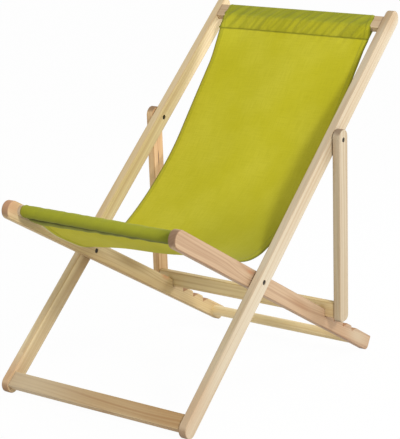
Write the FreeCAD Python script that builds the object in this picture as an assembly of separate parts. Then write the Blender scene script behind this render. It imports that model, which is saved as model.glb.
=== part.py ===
import FreeCAD, Part
import math
import os

# A folding wooden lounge chair with a cloth sling, standing open in its most upright notch.
# +Z is up, the chair faces -Y, and X runs across it. The origin lies on the floor under the
# middle of the chair's box. Sizes are millimetres, angles are degrees.

# Driving dimensions: rails
rail_width = 45.0
rail_thickness = 20.0
edge_radius = 2.5
back_frame_width = 540.0
back_angle = 44.16
back_upper_length = 861.0
back_lower_length = 427.7
seat_angle = 25.77
seat_front_length = 376.0
tail_corner_radius = 14.0
tail_top_radius = 4.0
tail_drop = 4.5
foot_flat_depth = 0.6

# Driving dimensions: prop frame and notches
prop_pivot_station = 438.0
prop_leg_width = 43.0
prop_top_overhang = 26.5
prop_foot_overhang = 12.0
prop_foot_radius = 15.0
crossbar_setback = 1.0
crossbar_height = 40.0
crossbar_thickness = 20.0
first_notch_station = 389.0
notch_count = 4
notch_pitch = 56.0
notch_seat_depth = 8.0
notch_clearance = 0.4
notch_root_radius = 1.5
notch_hump_radius = 4.0

# Driving dimensions: bars between the rails
bar_corner_radius = 3.0
top_bar_width = 40.0
top_bar_thickness = 20.0
top_bar_end_gap = 31.0
top_bar_setback = 1.5
foot_stretcher_width = 40.0
foot_stretcher_thickness = 20.0
foot_stretcher_end_gap = 8.7
foot_stretcher_setback = 5.0
front_bar_diameter = 26.0
front_bar_end_gap = 47.0
front_bar_rise = 7.0
rear_stretcher_diameter = 28.0
rear_stretcher_end_gap = 47.2
rear_stretcher_rise = -4.0
tenon_diameter = 16.0
tenon_length = 12.0
joint_clearance = 0.05

# Driving dimensions: dowels
dowel_diameter = 8.0
dowel_length = 30.0
dowel_rail_depth = 14.0
dowel_spacing = 20.0
dowel_end_gap = 0.5

# Driving dimensions: pivots
pivot_gap = 2.5
washer_diameter = 24.0
washer_side_gap = 0.05
sleeve_diameter = 8.0
sleeve_end_gap = 1.0
head_diameter = 12.0
head_thickness = 2.5
head_edge_radius = 0.6
recess_depth = 4.0
recess_clearance = 0.4
running_clearance = 0.05
head_running_gap = 0.15
screw_diameter = 5.0
screw_length = 24.0
socket_width = 4.0
socket_depth = 1.8
hexagon_sides = 6
slot_width = 1.6
slot_depth = 1.2

# Driving dimensions: sling
sling_side_gap = 5.5
cloth_thickness = 1.5
cloth_clearance = 0.5
sleeve_seam_drop = 27.0
sling_sag_radius = 205.0
sling_low_y = 0.0
sling_low_z = 36.0
sling_back_radius = 700.0
sling_break_angle = 25.0
front_seam_distance = 80.0

touching = 1e-6

# Derived places in the side plane. The main pivot is the side plane's own origin.
back_rad = math.radians(back_angle)
seat_rad = math.radians(seat_angle)
half_rail = rail_width / 2.0
floor_below_pivot = (back_lower_length - half_rail) * math.sin(back_rad) + half_rail - foot_flat_depth
tail_rise = half_rail - tail_corner_radius
seat_rear_length = tail_corner_radius + (
    floor_below_pivot + foot_flat_depth - tail_corner_radius - tail_rise * math.cos(seat_rad)
) / math.sin(seat_rad)
top_bar_station = back_upper_length - top_bar_end_gap - top_bar_width
foot_stretcher_station = foot_stretcher_end_gap - back_lower_length
front_bar_station = front_bar_end_gap - seat_front_length
rear_stretcher_station = seat_rear_length - rear_stretcher_end_gap
sleeve_seam_station = top_bar_station - sleeve_seam_drop
front_reach = (seat_front_length - half_rail) * math.cos(seat_rad) + half_rail
rear_reach = (back_upper_length - half_rail) * math.cos(back_rad) + half_rail
pivot_y = (front_reach - rear_reach) / 2.0
pivot_z = floor_below_pivot

# Derived places across the chair, on its +X side
back_outer = back_frame_width / 2.0
back_inner = back_outer - rail_thickness
seat_outer = back_inner - pivot_gap
seat_inner = seat_outer - rail_thickness
prop_inner = back_outer + pivot_gap
prop_outer = prop_inner + rail_thickness
sling_width = 2.0 * (seat_inner - sling_side_gap)


def side_point(y, z):
    """A point of the side plane, placed in the part's frame."""
    return FreeCAD.Vector(0.0, pivot_y + y, pivot_z + z)


def on_back(station, rise):
    """Side coordinates at a station up the back rail, with a rise towards its front edge."""
    y = station * math.cos(back_rad) - rise * math.sin(back_rad)
    z = station * math.sin(back_rad) + rise * math.cos(back_rad)
    return y, z


def on_seat(station, rise):
    """Side coordinates at a station towards the rear of the seat rail, with a rise above its axis."""
    y = station * math.cos(seat_rad) + rise * math.sin(seat_rad)
    z = -station * math.sin(seat_rad) + rise * math.cos(seat_rad)
    return y, z


prop_pivot = on_back(prop_pivot_station, 0.0)
tail_top = half_rail - tail_drop
crossbar_foot = on_seat(first_notch_station, tail_top - notch_seat_depth)
crossbar_rise = crossbar_setback + crossbar_thickness / 2.0 - prop_leg_width / 2.0
foot_y = crossbar_foot[0] - prop_pivot[0]
foot_z = crossbar_foot[1] - prop_pivot[1]
foot_reach = math.hypot(foot_y, foot_z)
prop_length = math.sqrt(foot_reach ** 2 - crossbar_rise ** 2)
prop_down = (
    (foot_y * prop_length + foot_z * crossbar_rise) / foot_reach ** 2,
    (foot_z * prop_length - foot_y * crossbar_rise) / foot_reach ** 2,
)


def on_prop(station, rise):
    """Side coordinates at a station down the prop leg, with a rise towards its rear edge."""
    y = prop_pivot[0] + station * prop_down[0] - rise * prop_down[1]
    z = prop_pivot[1] + station * prop_down[1] + rise * prop_down[0]
    return y, z


def outline(corners):
    """A closed wire in the side plane, from (y, z, radius) corners with lines and tangent arcs."""
    points = [FreeCAD.Vector(0.0, corner[0], corner[1]) for corner in corners]
    joins = []
    for index, corner in enumerate(corners):
        here = points[index]
        to_last = (points[index - 1] - here).normalize()
        to_next = (points[(index + 1) % len(points)] - here).normalize()
        radius = corner[2]
        if radius == 0.0:
            joins.append((here, None, here))
            continue
        half_turn = to_last.getAngle(to_next) / 2.0
        run = radius / math.tan(half_turn)
        middle = (to_last + to_next).normalize()
        nearest = here + middle * (radius / math.sin(half_turn) - radius)
        joins.append((here + to_last * run, nearest, here + to_next * run))
    edges = []
    for index, join in enumerate(joins):
        if join[1] is not None:
            edges.append(Part.Arc(join[0], join[1], join[2]).toShape())
        start = join[2]
        end = joins[(index + 1) % len(joins)][0]
        if start.distanceToPoint(end) > touching:
            edges.append(Part.makeLine(start, end))
    return Part.Wire(edges)


def board(corners, x_low, x_high):
    """An outline of the side plane, made solid between two places across the chair."""
    face = Part.Face(outline(corners))
    solid = face.extrude(FreeCAD.Vector(x_high - x_low, 0.0, 0.0))
    solid.translate(FreeCAD.Vector(x_low, pivot_y, pivot_z))
    return solid


def ease_edges(solid, radius):
    """The long edges of a rail, which run round its two wide faces, rounded over."""
    edges = [edge for edge in solid.Edges if edge.BoundBox.XLength < touching]
    return solid.makeFillet(radius, edges)


def rod(side, diameter, x_low, x_high):
    """A round bar across the chair, centred on a point of the side plane."""
    base = side_point(*side) + FreeCAD.Vector(x_low, 0.0, 0.0)
    return Part.makeCylinder(diameter / 2.0, x_high - x_low, base, FreeCAD.Vector(1.0, 0.0, 0.0))


def rectangle(place, along_low, along_high, rise_low, rise_high, radius):
    """Corners of a rounded rectangle, in the coordinates of a frame's own place function."""
    low_side = [(along_low, rise_low), (along_high, rise_low)]
    high_side = [(along_high, rise_high), (along_low, rise_high)]
    return [(*place(along, rise), radius) for along, rise in low_side + high_side]


def mirrored(solid):
    """The same piece on the other side of the chair."""
    return solid.mirror(FreeCAD.Vector(0.0, 0.0, 0.0), FreeCAD.Vector(1.0, 0.0, 0.0))


def pair(solid):
    """Two like pieces, one on each side, as one group."""
    return Part.makeCompound([solid, mirrored(solid)])


def on_the_floor(solid):
    """A foot, cut flat where it stands."""
    reach = 2.0 * (back_upper_length + back_lower_length)
    corner = FreeCAD.Vector(-reach / 2.0, -reach / 2.0, -reach)
    return solid.cut(Part.makeBox(reach, reach, reach, corner))


def dowel_row(place, along, rise, spread_along, spread_rise):
    """Two dowel centres, half the dowel spacing to each side of a bar's middle."""
    half = dowel_spacing / 2.0
    return [place(along + k * half * spread_along, rise + k * half * spread_rise) for k in (-1, 1)]


def drilled(solid, sides, joint_x, rail_depth, bar_depth):
    """Dowel holes on both sides of the joint between a rail and the end of a bar."""
    hole = dowel_diameter + 2.0 * joint_clearance
    for side in sides:
        solid = solid.cut(rod(side, hole, joint_x - bar_depth, joint_x + rail_depth))
    return solid


def dowels(sides, joint_x):
    """The dowels of one bar, two at each end."""
    low = joint_x + dowel_rail_depth - dowel_end_gap - dowel_length
    made = [rod(side, dowel_diameter, low, low + dowel_length) for side in sides]
    return Part.makeCompound(made + [mirrored(one) for one in made])


dowel_bar_depth = dowel_length - dowel_rail_depth + 2.0 * dowel_end_gap


def bored_bar(solid, sides, joint_x):
    """A flat bar with its dowel holes at both ends."""
    solid = drilled(solid, sides, joint_x, 0.0, dowel_bar_depth)
    for side in sides:
        hole = rod(side, dowel_diameter + 2.0 * joint_clearance, joint_x - dowel_bar_depth, joint_x)
        solid = solid.cut(mirrored(hole))
    return solid


# Pivot hardware: a slotted sleeve nut from one face and a socket screw from the other
pivot_stack = 2.0 * rail_thickness + pivot_gap
bore_diameter = sleeve_diameter + 2.0 * running_clearance
recess_diameter = head_diameter + 2.0 * recess_clearance
main_pivot = (0.0, 0.0)


def pivot_bore(solid, side, x_low, x_high):
    """The running bore of a pivot through one rail."""
    return solid.cut(rod(side, bore_diameter, x_low, x_high))


def head_recess(solid, side, face_x, inward):
    """The recess that hides a pivot's head, cut from a rail's face in the inward direction."""
    floor_x = face_x + inward * recess_depth
    return solid.cut(rod(side, recess_diameter, min(face_x, floor_x), max(face_x, floor_x)))


def pivot_sleeve(side, inner_x, lift):
    """A sleeve nut, its slotted head near the inner face and its tube reaching to the screw."""
    seat_x = inner_x + recess_depth - lift
    tube_end = inner_x + pivot_stack - recess_depth - sleeve_end_gap
    head = rod(side, head_diameter, seat_x - head_thickness, seat_x)
    rim = [edge for edge in head.Edges if edge.BoundBox.XMax < seat_x - head_thickness / 2.0]
    head = head.makeFillet(head_edge_radius, rim)
    centre = side_point(*side) + FreeCAD.Vector(seat_x - head_thickness, 0.0, 0.0)
    slot_corner = centre - FreeCAD.Vector(0.0, head_diameter, slot_width / 2.0)
    slot = Part.makeBox(slot_depth, 2.0 * head_diameter, slot_width, slot_corner)
    body = head.fuse(rod(side, sleeve_diameter, seat_x, tube_end)).removeSplitter()
    bore = rod(side, screw_diameter + 2.0 * running_clearance, seat_x, tube_end)
    return body.cut(slot).cut(bore)


def pivot_screw(side, outer_x, lift):
    """A screw with a hexagon socket, its head near the outer face and its shank in the sleeve."""
    seat_x = outer_x - recess_depth + lift
    head = rod(side, head_diameter, seat_x, seat_x + head_thickness)
    rim = [edge for edge in head.Edges if edge.BoundBox.XMin > seat_x + head_thickness / 2.0]
    head = head.makeFillet(head_edge_radius, rim)
    shank = rod(side, screw_diameter, seat_x - screw_length, seat_x)
    centre = side_point(*side) + FreeCAD.Vector(seat_x + head_thickness - socket_depth, 0.0, 0.0)
    corner_radius = socket_width / math.sqrt(3.0)
    ring = []
    for index in range(hexagon_sides + 1):
        turn = 2.0 * math.pi * index / hexagon_sides
        corner = FreeCAD.Vector(0.0, corner_radius * math.cos(turn), corner_radius * math.sin(turn))
        ring.append(centre + corner)
    socket = Part.Face(Part.makePolygon(ring)).extrude(FreeCAD.Vector(socket_depth, 0.0, 0.0))
    return head.fuse(shank).removeSplitter().cut(socket)


def pivot_washer(side, gap_low):
    """A spacer washer in the gap between two rails."""
    ring = rod(side, washer_diameter, gap_low + washer_side_gap, gap_low + pivot_gap - washer_side_gap)
    return ring.cut(rod(side, bore_diameter, gap_low, gap_low + pivot_gap))


# Bars of the back frame
top_rise_high = half_rail - top_bar_setback
top_rise_low = top_rise_high - top_bar_thickness
top_high = top_bar_station + top_bar_width
top_middle = top_bar_station + top_bar_width / 2.0
top_mid_rise = (top_rise_high + top_rise_low) / 2.0
top_dowel_sides = dowel_row(on_back, top_middle, top_mid_rise, 1.0, 0.0)
top_section = rectangle(
    on_back, top_bar_station, top_high, top_rise_low, top_rise_high, bar_corner_radius
)
top_bar = bored_bar(board(top_section, -back_inner, back_inner), top_dowel_sides, back_inner)

foot_rise_high = half_rail - foot_stretcher_setback
foot_rise_low = foot_rise_high - foot_stretcher_thickness
foot_high = foot_stretcher_station + foot_stretcher_width
foot_middle = foot_stretcher_station + foot_stretcher_width / 2.0
foot_mid_rise = (foot_rise_high + foot_rise_low) / 2.0
foot_dowel_sides = dowel_row(on_back, foot_middle, foot_mid_rise, 1.0, 0.0)
foot_section = rectangle(
    on_back, foot_stretcher_station, foot_high, foot_rise_low, foot_rise_high, bar_corner_radius
)
foot_stretcher = bored_bar(board(foot_section, -back_inner, back_inner), foot_dowel_sides, back_inner)


def make_back_rail():
    """The +X back rail, from its rounded foot to its rounded tip."""
    corners = rectangle(on_back, -back_lower_length, back_upper_length, -half_rail, half_rail, half_rail)
    rail = on_the_floor(ease_edges(board(corners, back_inner, back_outer), edge_radius))
    dowel_sides = top_dowel_sides + foot_dowel_sides
    rail = drilled(rail, dowel_sides, back_inner, dowel_rail_depth, 0.0)
    rail = pivot_bore(rail, main_pivot, back_inner, back_outer)
    rail = pivot_bore(rail, prop_pivot, back_inner, back_outer)
    rail = head_recess(rail, main_pivot, back_outer, -1.0)
    return head_recess(rail, prop_pivot, back_inner, 1.0)


# Seat frame
front_bar_side = on_seat(front_bar_station, front_bar_rise)
rear_stretcher_side = on_seat(rear_stretcher_station, rear_stretcher_rise)
tenon_hole = tenon_diameter + 2.0 * joint_clearance


def tenoned_rod(side, diameter):
    """A round bar between the seat rails, with a turned tenon at each end."""
    body = rod(side, diameter, -seat_inner, seat_inner)
    reach = seat_inner + tenon_length - dowel_end_gap
    return body.fuse(rod(side, tenon_diameter, -reach, reach)).removeSplitter()


def notch_corners(index):
    """The three corners of one notch: the top of its front wall, its root and the top of its ramp."""
    front_rise = crossbar_rise - crossbar_thickness / 2.0 - notch_clearance
    root = on_prop(prop_length + notch_clearance, front_rise)
    wall = (-prop_down[0], -prop_down[1])
    ramp = (-prop_down[1], prop_down[0])
    axis = (math.cos(seat_rad), -math.sin(seat_rad))
    normal = (math.sin(seat_rad), math.cos(seat_rad))
    root_station = root[0] * axis[0] + root[1] * axis[1] + index * notch_pitch
    root_rise = root[0] * normal[0] + root[1] * normal[1]
    top = half_rail if index == 0 else tail_top
    wall_lean = (wall[0] * axis[0] + wall[1] * axis[1]) / (wall[0] * normal[0] + wall[1] * normal[1])
    ramp_lean = (ramp[0] * axis[0] + ramp[1] * axis[1]) / (ramp[0] * normal[0] + ramp[1] * normal[1])
    wall_top = (root_station + wall_lean * (top - root_rise), top)
    ramp_top = (root_station + ramp_lean * (tail_top - root_rise), tail_top)
    return [
        (*on_seat(*wall_top), notch_hump_radius),
        (*on_seat(root_station, root_rise), notch_root_radius),
        (*on_seat(*ramp_top), notch_hump_radius),
    ]


def make_seat_rail():
    """The +X seat rail, with its rounded front end, its notched tail and its foot."""
    corners = [
        (*on_seat(-seat_front_length, -half_rail), half_rail),
        (*on_seat(-seat_front_length, half_rail), half_rail),
    ]
    for index in range(notch_count):
        corners += notch_corners(index)
    corners += [
        (*on_seat(seat_rear_length, tail_top), tail_top_radius),
        (*on_seat(seat_rear_length, -half_rail), tail_corner_radius),
    ]
    rail = on_the_floor(ease_edges(board(corners, seat_inner, seat_outer), edge_radius))
    for side in (front_bar_side, rear_stretcher_side):
        rail = rail.cut(rod(side, tenon_hole, seat_inner, seat_inner + tenon_length))
    rail = pivot_bore(rail, main_pivot, seat_inner, seat_outer)
    return head_recess(rail, main_pivot, seat_inner, 1.0)


# Prop frame
crossbar_low = prop_length - crossbar_height
crossbar_middle = prop_length - crossbar_height / 2.0
crossbar_front = crossbar_rise - crossbar_thickness / 2.0
crossbar_rear = crossbar_rise + crossbar_thickness / 2.0
crossbar_dowel_sides = dowel_row(on_prop, crossbar_middle, crossbar_rise, 1.0, 0.0)
crossbar_section = rectangle(
    on_prop, crossbar_low, prop_length, crossbar_front, crossbar_rear, bar_corner_radius
)
crossbar_blank = board(crossbar_section, -prop_inner, prop_inner)
prop_crossbar = bored_bar(crossbar_blank, crossbar_dowel_sides, prop_inner)


def make_prop_leg():
    """The +X prop leg, outside the back rail, with a round top and a foot with rounded corners."""
    half = prop_leg_width / 2.0
    foot = prop_length + prop_foot_overhang
    corners = [
        (*on_prop(-prop_top_overhang, -half), half),
        (*on_prop(foot, -half), prop_foot_radius),
        (*on_prop(foot, half), prop_foot_radius),
        (*on_prop(-prop_top_overhang, half), half),
    ]
    leg = ease_edges(board(corners, prop_inner, prop_outer), edge_radius)
    leg = drilled(leg, crossbar_dowel_sides, prop_inner, dowel_rail_depth, 0.0)
    leg = pivot_bore(leg, prop_pivot, prop_inner, prop_outer)
    return head_recess(leg, prop_pivot, prop_outer, -1.0)


# Sling: one strip of cloth, with a sleeve on the top bar and a sleeve on the front bar
half_cloth = cloth_thickness / 2.0
cloth_offset = cloth_clearance + half_cloth


def tangent_normal(from_centre, to_centre, reach, turn):
    """The unit normal of a line that keeps a given reach between two centres in the side plane."""
    across = (to_centre[0] - from_centre[0], to_centre[1] - from_centre[1])
    bearing = math.atan2(across[1], across[0]) + turn * math.acos(reach / math.hypot(*across))
    return math.cos(bearing), math.sin(bearing)


def shifted(point, direction, distance):
    """A point of the side plane, moved along a direction."""
    return point[0] + direction[0] * distance, point[1] + direction[1] * distance


def cloth_line(start, end):
    """A straight run of cloth."""
    run = math.dist(start, end)
    normal = ((start[1] - end[1]) / run * half_cloth, (end[0] - start[0]) / run * half_cloth)
    front_face = [shifted(start, normal, 1.0), shifted(end, normal, 1.0)]
    rear_face = [shifted(end, normal, -1.0), shifted(start, normal, -1.0)]
    corners = [(*corner, 0.0) for corner in front_face + rear_face]
    return board(corners, -sling_width / 2.0, sling_width / 2.0)


def cloth_bend(centre, radius, start, sweep):
    """A bend of cloth about a centre, from a starting bearing through a sweep, both in radians."""
    def at(distance, bearing):
        place = shifted(centre, (math.cos(bearing), math.sin(bearing)), distance)
        return FreeCAD.Vector(0.0, *place)
    inner = radius - half_cloth
    outer = radius + half_cloth
    middle = start + sweep / 2.0
    end = start + sweep
    wire = Part.Wire([
        Part.Arc(at(inner, start), at(inner, middle), at(inner, end)).toShape(),
        Part.makeLine(at(inner, end), at(outer, end)),
        Part.Arc(at(outer, end), at(outer, middle), at(outer, start)).toShape(),
        Part.makeLine(at(outer, start), at(inner, start)),
    ])
    solid = Part.Face(wire).extrude(FreeCAD.Vector(sling_width, 0.0, 0.0))
    solid.translate(FreeCAD.Vector(-sling_width / 2.0, pivot_y, pivot_z))
    return solid


def seam_bead(point):
    """The stitched edge where two layers of cloth meet."""
    return rod(point, cloth_thickness, -sling_width / 2.0, sling_width / 2.0)


def make_sling():
    """The whole sling: top sleeve, back run, sag, seat run and front sleeve."""
    bend = bar_corner_radius + cloth_offset
    inset = bar_corner_radius
    low = top_bar_station + inset
    high = top_high - inset
    near = top_rise_high - inset
    far = top_rise_low + inset
    top_seam = on_back(sleeve_seam_station, top_rise_low - cloth_offset)
    quarter = math.pi / 2.0
    rear_low = on_back(low, far - bend)
    rear_high = on_back(high, far - bend)
    tip_rear = on_back(high + bend, far)
    tip_front = on_back(high + bend, near)
    front_high = on_back(high, near + bend)
    front_centre = on_back(low, near)
    front_low = on_back(low, near + bend)
    lean = tangent_normal(top_seam, front_centre, bend, -1.0)
    leaving = shifted(front_centre, lean, -bend)
    lean_bearing = math.atan2(-lean[1], -lean[0])
    front_bearing = back_rad + quarter
    turn = (lean_bearing - front_bearing) % (2.0 * math.pi)
    pieces = [
        seam_bead(top_seam),
        cloth_line(top_seam, rear_low),
        cloth_line(rear_low, rear_high),
        cloth_bend(on_back(high, far), bend, back_rad - quarter, quarter),
        cloth_line(tip_rear, tip_front),
        cloth_bend(on_back(high, near), bend, back_rad, quarter),
        cloth_line(front_high, front_low),
        cloth_bend(front_centre, bend, front_bearing, turn),
        cloth_line(leaving, top_seam),
    ]

    sag_centre = (sling_low_y, sling_low_z + sling_sag_radius)
    break_rad = math.radians(sling_break_angle)
    break_normal = (-math.sin(break_rad), math.cos(break_rad))
    break_meet = shifted(sag_centre, break_normal, -sling_sag_radius)
    back_centre = shifted(break_meet, break_normal, sling_back_radius)
    back_lean = tangent_normal(top_seam, back_centre, sling_back_radius, -1.0)
    back_meet = shifted(back_centre, back_lean, -sling_back_radius)
    seat_lean = tangent_normal(front_bar_side, sag_centre, sling_sag_radius, 1.0)
    seat_meet = shifted(sag_centre, seat_lean, -sling_sag_radius)
    pull = math.dist(front_bar_side, seat_meet)
    share = front_seam_distance / pull
    front_seam = (
        front_bar_side[0] + (seat_meet[0] - front_bar_side[0]) * share,
        front_bar_side[1] + (seat_meet[1] - front_bar_side[1]) * share,
    )
    roll = front_bar_diameter / 2.0 + cloth_offset
    over_lean = tangent_normal(front_seam, front_bar_side, roll, 1.0)
    under_lean = tangent_normal(front_seam, front_bar_side, roll, -1.0)
    roll_start = shifted(front_bar_side, over_lean, -roll)
    roll_end = shifted(front_bar_side, under_lean, -roll)

    def bearing(normal):
        return math.atan2(-normal[1], -normal[0])

    sag_sweep = (bearing(break_normal) - bearing(seat_lean)) % (2.0 * math.pi)
    back_sweep = (bearing(back_lean) - bearing(break_normal)) % (2.0 * math.pi)
    roll_sweep = (bearing(under_lean) - bearing(over_lean)) % (2.0 * math.pi)
    pieces += [
        cloth_line(top_seam, back_meet),
        cloth_bend(back_centre, sling_back_radius, bearing(break_normal), back_sweep),
        cloth_bend(sag_centre, sling_sag_radius, bearing(seat_lean), sag_sweep),
        cloth_line(seat_meet, front_seam),
        cloth_line(front_seam, roll_start),
        cloth_bend(front_bar_side, roll, bearing(over_lean), roll_sweep),
        cloth_line(roll_end, front_seam),
        seam_bead(front_seam),
    ]
    length = math.dist(top_seam, back_meet) + math.dist(seat_meet, front_seam)
    length += sling_back_radius * back_sweep + sling_sag_radius * sag_sweep
    print("sling run between its seams", round(length, 1))
    print("sling turns", [round(math.degrees(v), 1) for v in (back_sweep, sag_sweep, roll_sweep)])
    return pieces[0].multiFuse(pieces[1:]).removeSplitter()


back_rail_right = make_back_rail()
seat_rail_right = make_seat_rail()
prop_leg_right = make_prop_leg()

nodes = {
    "back_rail_right": back_rail_right,
    "back_rail_left": mirrored(back_rail_right),
    "top_bar": top_bar,
    "foot_stretcher": foot_stretcher,
    "top_bar_dowels": dowels(top_dowel_sides, back_inner),
    "foot_stretcher_dowels": dowels(foot_dowel_sides, back_inner),
    "sling": make_sling(),
    "main_pivot_screws": pair(pivot_screw(main_pivot, back_outer, 0.0)),
    "main_pivot_sleeves": pair(pivot_sleeve(main_pivot, seat_inner, head_running_gap)),
    "main_pivot_washers": pair(pivot_washer(main_pivot, seat_outer)),
    "prop_pivot_screws": pair(pivot_screw(prop_pivot, prop_outer, head_running_gap)),
    "prop_pivot_sleeves": pair(pivot_sleeve(prop_pivot, back_inner, 0.0)),
    "prop_pivot_washers": pair(pivot_washer(prop_pivot, back_outer)),
    "seat_rail_right": seat_rail_right,
    "seat_rail_left": mirrored(seat_rail_right),
    "seat_front_bar": tenoned_rod(front_bar_side, front_bar_diameter),
    "rear_stretcher": tenoned_rod(rear_stretcher_side, rear_stretcher_diameter),
    "prop_leg_right": prop_leg_right,
    "prop_leg_left": mirrored(prop_leg_right),
    "prop_crossbar": prop_crossbar,
    "prop_crossbar_dowels": dowels(crossbar_dowel_sides, prop_inner),
}

os.makedirs("parts", exist_ok=True)
for name, shape in nodes.items():
    print(name, "solids", len(shape.Solids), "valid", shape.isValid(), "volume", round(shape.Volume, 1))
    shape.exportStep("parts/" + name + ".step")
whole = Part.makeCompound(list(nodes.values())).BoundBox
print("box x", round(whole.XMin, 2), round(whole.XMax, 2))
print("box y", round(whole.YMin, 2), round(whole.YMax, 2))
print("box z", round(whole.ZMin, 2), round(whole.ZMax, 2))
print("main pivot", [round(v, 3) for v in side_point(*main_pivot)])
print("prop pivot", [round(v, 3) for v in side_point(*prop_pivot)])
print("prop lean from vertical", round(math.degrees(math.atan2(prop_down[0], -prop_down[1])), 2))
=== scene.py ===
# %% [markdown]
# # A folding lounge chair in pale wood and olive canvas
# The chair's construction comes ready made, as a frame of solids in metres. This lesson dresses it:
# the wood gets grain, the pivots get dark steel, and the sling is cut and sewn anew as real cloth.
# Nothing of the frame is moved, so every measure below is taken from it.

# %% Load the frame
import math

import bmesh
import bpy
from mathutils import Matrix, Vector


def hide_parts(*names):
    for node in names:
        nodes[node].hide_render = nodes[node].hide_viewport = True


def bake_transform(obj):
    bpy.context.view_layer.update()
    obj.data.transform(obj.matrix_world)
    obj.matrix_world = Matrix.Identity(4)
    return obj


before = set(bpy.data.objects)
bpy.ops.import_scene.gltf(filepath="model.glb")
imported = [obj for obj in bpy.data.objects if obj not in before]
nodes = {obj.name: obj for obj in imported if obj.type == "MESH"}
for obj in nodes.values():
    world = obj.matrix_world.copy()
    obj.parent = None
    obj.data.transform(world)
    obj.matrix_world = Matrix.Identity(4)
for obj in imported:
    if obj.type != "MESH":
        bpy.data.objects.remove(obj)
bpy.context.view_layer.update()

# %% [markdown]
# ## The camera
# The photograph was taken from the front right and a little above, with a long lens: the far rails are
# nearly as wide as the near ones. The three axes below are the camera's own right, up and back.
# A camera that is placed by its matrix needs no aiming, and stays exactly where the measuring put it.

# %% Place the camera
camera_right = (0.82847084, 0.55931747, 0.02828485)
camera_up = (-0.13955775, 0.15727564, 0.97764411)
camera_back = (0.54236491, -0.81389701, 0.20835537)
camera_place = (2.08069, -3.13890, 1.19656)

lens = bpy.data.cameras.new("long_lens")
lens.sensor_fit = "HORIZONTAL"
lens.sensor_width = 36.0
lens.lens = 138.14
lens.clip_start = 0.05
lens.clip_end = 60.0
camera = bpy.data.objects.new("photo_camera", lens)
bpy.context.scene.collection.objects.link(camera)
camera_turn = Matrix((camera_right, camera_up, camera_back)).transposed().to_4x4()
camera.matrix_world = Matrix.Translation(camera_place) @ camera_turn
bpy.context.scene.camera = camera
bpy.context.scene.view_settings.view_transform = "Standard"
print("camera is", round(Vector(camera_place).length, 2), "m from the origin")

# %% [markdown]
# ## Shader maths
# A procedural finish is a formula over the surface. Blender writes formulas as nodes, which are slow to
# read, so one small class wraps a socket and lets Python's own signs add the Math nodes.
# Every other node comes from a single method, which sets the node up first and then fills its sockets.


# %% A socket with arithmetic
class Field:
    """A value that changes over a surface, with Python's arithmetic on it."""

    def __init__(self, finish, socket):
        self.finish = finish
        self.socket = socket

    def maths(self, operation, *values):
        return self.finish.node("ShaderNodeMath", {"operation": operation}, dict(enumerate(values)))

    def __add__(self, other):
        return self.maths("ADD", self, other)

    def __radd__(self, other):
        return self.maths("ADD", other, self)

    def __sub__(self, other):
        return self.maths("SUBTRACT", self, other)

    def __rsub__(self, other):
        return self.maths("SUBTRACT", other, self)

    def __mul__(self, other):
        return self.maths("MULTIPLY", self, other)

    def __rmul__(self, other):
        return self.maths("MULTIPLY", other, self)

    def sine(self):
        return self.maths("SINE", self)

    def root(self):
        return self.maths("SQRT", self)

    def size(self):
        return self.maths("ABSOLUTE", self)

    def larger(self, other):
        return self.maths("MAXIMUM", self, other)

    def step(self, low, high):
        """0 below low, 1 above high, and smooth between them; low may be the larger one."""
        settings = {"interpolation_type": "SMOOTHSTEP"}
        values = {"Value": self, "From Min": low, "From Max": high, "To Min": 0.0, "To Max": 1.0}
        return self.finish.node("ShaderNodeMapRange", settings, values)


# %% A finish that adds its own nodes
class Finish:
    """The nodes of a material or a world, with one shader at their end."""

    def __init__(self, owner, shader):
        owner.use_nodes = True
        self.owner = owner
        self.tree = owner.node_tree
        self.shader = self.tree.nodes[shader]

    def fill(self, node, values):
        for key, value in values.items():
            if isinstance(value, Field):
                self.tree.links.new(value.socket, node.inputs[key])
            else:
                node.inputs[key].default_value = value

    def node(self, kind, settings, values, output=0):
        node = self.tree.nodes.new(kind)
        for key, value in settings.items():
            setattr(node, key, value)
        self.fill(node, values)
        return Field(self, node.outputs[output])

    def place(self):
        """Where a point is on the object."""
        return self.node("ShaderNodeTexCoord", {}, {}, "Object")

    def split(self, vector):
        """The three numbers of a vector."""
        first = self.node("ShaderNodeSeparateXYZ", {}, {0: vector})
        return [Field(self, socket) for socket in first.socket.node.outputs]

    def vector(self, operation, first, second, output=0):
        return self.node("ShaderNodeVectorMath", {"operation": operation}, {0: first, 1: second}, output)

    def noise(self, vector, scale, detail=2.0):
        """Soft random values about 0.5, over a vector that is stretched first."""
        values = {"Vector": self.vector("MULTIPLY", vector, scale), "Scale": 1.0, "Detail": detail}
        return self.node("ShaderNodeTexNoise", {}, values)

    def mix(self, share, first, second):
        """A colour between two others."""
        settings = {"data_type": "RGBA", "clamp_factor": True}
        return self.node("ShaderNodeMix", settings, {0: share, 6: first, 7: second}, 2)

    def bump(self, height, distance, strength):
        values = {"Height": height, "Distance": distance, "Strength": strength}
        return self.node("ShaderNodeBump", {}, values)

    def finish(self, **values):
        """Fills the shader's sockets, with underscores for the spaces in their names."""
        self.fill(self.shader, {key.replace("_", " "): value for key, value in values.items()})
        return self.owner


def new_finish(name):
    return Finish(bpy.data.materials.new(name), "Principled BSDF")


def colour(red, green, blue):
    """A screen colour from 0 to 255, as the linear colour that a shader takes."""
    def linear(value):
        share = value / 255.0
        return share / 12.92 if share <= 0.04045 else ((share + 0.055) / 1.055) ** 2.4
    return (linear(red), linear(green), linear(blue), 1.0)


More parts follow.
